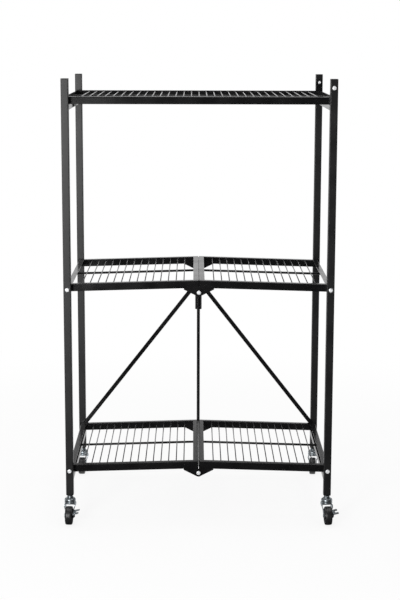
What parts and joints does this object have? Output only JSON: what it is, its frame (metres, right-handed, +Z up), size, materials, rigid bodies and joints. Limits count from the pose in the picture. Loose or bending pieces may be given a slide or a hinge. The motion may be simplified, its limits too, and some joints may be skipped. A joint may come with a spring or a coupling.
{
  "type": "cooling rack",
  "caption": "Free-standing folding wire rack: three tiers between square posts on swivel casters; two shelves fold up at the middle and the top one lifts on a hinge.",
  "frame": {"origin": "on the floor, below the middle of the whole box, which is 8.63 mm to the right of and 20.95 mm in front of the point midway between the four posts", "axes": "+Z up, +X to the right along the front, +Y from the front posts to the back posts"},
  "size_m": [0.9476, 0.6672, 1.524],
  "materials": {
    "black_paint": "satin",
    "black_wire": "satin",
    "black_plastic": "matte",
    "zinc_plate": "satin",
    "wheel_rubber": "matte"
  },
  "bodies": {
    "left_frame": {"left_front_post": "black_paint", "left_front_post_cap": "black_plastic", "left_front_caster_socket": "black_plastic", "left_front_middle_pivot": "zinc_plate", "left_front_bottom_pivot": "zinc_plate", "left_back_post": "black_paint", "left_back_post_cap": "black_plastic", "left_back_caster_socket": "black_plastic", "left_back_middle_pivot": "zinc_plate", "left_back_bottom_pivot": "zinc_plate", "left_top_crossbar": "black_paint", "left_bottom_crossbar": "black_paint", "top_shelf_latch_plate": "black_plastic"},
    "right_frame": {"right_front_post": "black_paint", "right_front_post_cap": "black_plastic", "right_front_caster_socket": "black_plastic", "right_front_middle_pivot": "zinc_plate", "right_front_bottom_pivot": "zinc_plate", "right_back_post": "black_paint", "right_back_post_cap": "black_plastic", "right_back_caster_socket": "black_plastic", "right_back_middle_pivot": "zinc_plate", "right_back_bottom_pivot": "zinc_plate", "right_top_crossbar": "black_paint", "right_bottom_crossbar": "black_paint", "top_shelf_front_pivot": "zinc_plate", "top_shelf_back_pivot": "zinc_plate"},
    "middle_left_shelf": {"middle_left_front_rail": "black_paint", "middle_left_back_rail": "black_paint", "middle_left_deck": "black_wire", "middle_front_centre_pin": "zinc_plate", "middle_back_centre_pin": "zinc_plate"},
    "middle_right_shelf": {"middle_right_front_rail": "black_paint", "middle_right_back_rail": "black_paint", "middle_right_deck": "black_wire"},
    "bottom_left_shelf": {"bottom_left_front_rail": "black_paint", "bottom_left_back_rail": "black_paint", "bottom_left_deck": "black_wire", "bottom_front_centre_pin": "zinc_plate", "bottom_back_centre_pin": "zinc_plate"},
    "bottom_right_shelf": {"bottom_right_front_rail": "black_paint", "bottom_right_back_rail": "black_paint", "bottom_right_deck": "black_wire"},
    "link_rod": {"link_rod": "black_paint"},
    "brace_sleeve": {"brace_sleeve": "black_paint"},
    "left_brace": {"left_brace": "black_paint"},
    "right_brace": {"right_brace": "black_paint"},
    "top_shelf": {"top_shelf_front_rail": "black_paint", "top_shelf_back_rail": "black_paint", "top_shelf_deck": "black_wire"},
    "left_front_fork": {"left_front_caster_fork": "zinc_plate"},
    "left_front_wheel": {"left_front_caster_wheel": "wheel_rubber"},
    "left_front_brake": {"left_front_caster_brake": "zinc_plate"},
    "left_back_fork": {"left_back_caster_fork": "zinc_plate"},
    "left_back_wheel": {"left_back_caster_wheel": "wheel_rubber"},
    "right_front_fork": {"right_front_caster_fork": "zinc_plate"},
    "right_front_wheel": {"right_front_caster_wheel": "wheel_rubber"},
    "right_front_brake": {"right_front_caster_brake": "zinc_plate"},
    "right_back_fork": {"right_back_caster_fork": "zinc_plate"},
    "right_back_wheel": {"right_back_caster_wheel": "wheel_rubber"}
  },
  "joints": [
    {"name": "rack_fold", "type": "hinge", "parent": "left_frame", "child": "middle_left_shelf", "pos_m": [-0.45313, 0.02095, 0.8182], "axis": [0, -1, 0], "range_deg": [0, 80]},
    {"name": "middle_centre_fold", "type": "hinge", "parent": "middle_left_shelf", "child": "middle_right_shelf", "pos_m": [-0.00863, 0.02095, 0.80499], "axis": [0, 1, 0], "range_deg": [0, 160]},
    {"name": "right_frame_fold", "type": "hinge", "parent": "middle_right_shelf", "child": "right_frame", "pos_m": [0.43587, 0.02095, 0.8182], "axis": [0, -1, 0], "range_deg": [0, 80]},
    {"name": "bottom_left_fold", "type": "hinge", "parent": "left_frame", "child": "bottom_left_shelf", "pos_m": [-0.45313, 0.02095, 0.184], "axis": [0, -1, 0], "range_deg": [0, 80]},
    {"name": "bottom_right_fold", "type": "hinge", "parent": "right_frame", "child": "bottom_right_shelf", "pos_m": [0.43587, 0.02095, 0.184], "axis": [0, 1, 0], "range_deg": [0, 80]},
    {"name": "link_rod_pivot", "type": "hinge", "parent": "middle_left_shelf", "child": "link_rod", "pos_m": [-0.00863, 0.31305, 0.80499], "axis": [0, 1, 0], "range_deg": [0, 80]},
    {"name": "sleeve_slide", "type": "slide", "parent": "link_rod", "child": "brace_sleeve", "axis": [0, 0, -1], "range_m": [0, 0.3042]},
    {"name": "left_brace_swing", "type": "hinge", "parent": "left_frame", "child": "left_brace", "pos_m": [-0.45313, 0.29805, 0.184], "axis": [0, -1, 0], "range_deg": [0, 31.6]},
    {"name": "right_brace_swing", "type": "hinge", "parent": "right_frame", "child": "right_brace", "pos_m": [0.43587, 0.29805, 0.184], "axis": [0, 1, 0], "range_deg": [0, 31.6]},
    {"name": "top_shelf_lift", "type": "hinge", "parent": "right_frame", "child": "top_shelf", "pos_m": [0.43587, 0.02095, 1.4943], "axis": [0, 1, 0], "range_deg": [0, 90]},
    {"name": "left_front_swivel", "type": "hinge", "parent": "left_frame", "child": "left_front_fork", "pos_m": [-0.45313, -0.27115, 0.11], "axis": [0, 0, 1], "continuous": true},
    {"name": "left_front_wheel_spin", "type": "hinge", "parent": "left_front_fork", "child": "left_front_wheel", "pos_m": [-0.4547, -0.30111, 0.032], "axis": [0.9986, -0.0523, 0], "continuous": true},
    {"name": "left_front_brake_press", "type": "hinge", "parent": "left_front_fork", "child": "left_front_brake", "pos_m": [-0.4547, -0.30111, 0.032], "axis": [0.9986, -0.0523, 0], "range_deg": [0, 12]},
    {"name": "left_back_swivel", "type": "hinge", "parent": "left_frame", "child": "left_back_fork", "pos_m": [-0.45313, 0.31305, 0.11], "axis": [0, 0, 1], "continuous": true},
    {"name": "left_back_wheel_spin", "type": "hinge", "parent": "left_back_fork", "child": "left_back_wheel", "pos_m": [-0.45496, 0.2831, 0.032], "axis": [0.9981, -0.061, 0], "continuous": true},
    {"name": "right_front_swivel", "type": "hinge", "parent": "right_frame", "child": "right_front_fork", "pos_m": [0.43587, -0.27115, 0.11], "axis": [0, 0, 1], "continuous": true},
    {"name": "right_front_wheel_spin", "type": "hinge", "parent": "right_front_fork", "child": "right_front_wheel", "pos_m": [0.43822, -0.30106, 0.032], "axis": [0.9969, 0.0785, 0], "continuous": true},
    {"name": "right_front_brake_press", "type": "hinge", "parent": "right_front_fork", "child": "right_front_brake", "pos_m": [0.43822, -0.30106, 0.032], "axis": [0.9969, 0.0785, 0], "range_deg": [0, 12]},
    {"name": "right_back_swivel", "type": "hinge", "parent": "right_frame", "child": "right_back_fork", "pos_m": [0.43587, 0.31305, 0.11], "axis": [0, 0, 1], "continuous": true},
    {"name": "right_back_wheel_spin", "type": "hinge", "parent": "right_back_fork", "child": "right_back_wheel", "pos_m": [0.43221, 0.28327, 0.032], "axis": [0.9925, -0.1219, 0], "continuous": true}
  ],
  "couplings": [
    {"joint": "middle_centre_fold", "follows": "rack_fold", "ratio": 2},
    {"joint": "right_frame_fold", "follows": "rack_fold", "ratio": 1},
    {"joint": "bottom_left_fold", "follows": "rack_fold", "ratio": 1},
    {"joint": "bottom_right_fold", "follows": "rack_fold", "ratio": 1},
    {"joint": "link_rod_pivot", "follows": "rack_fold", "ratio": 1},
    {"joint": "sleeve_slide", "follows": "rack_fold", "m_per_rad": 0.21785},
    {"joint": "left_brace_swing", "follows": "rack_fold", "ratio": 0.39494},
    {"joint": "right_brace_swing", "follows": "rack_fold", "ratio": 0.39494}
  ]
}
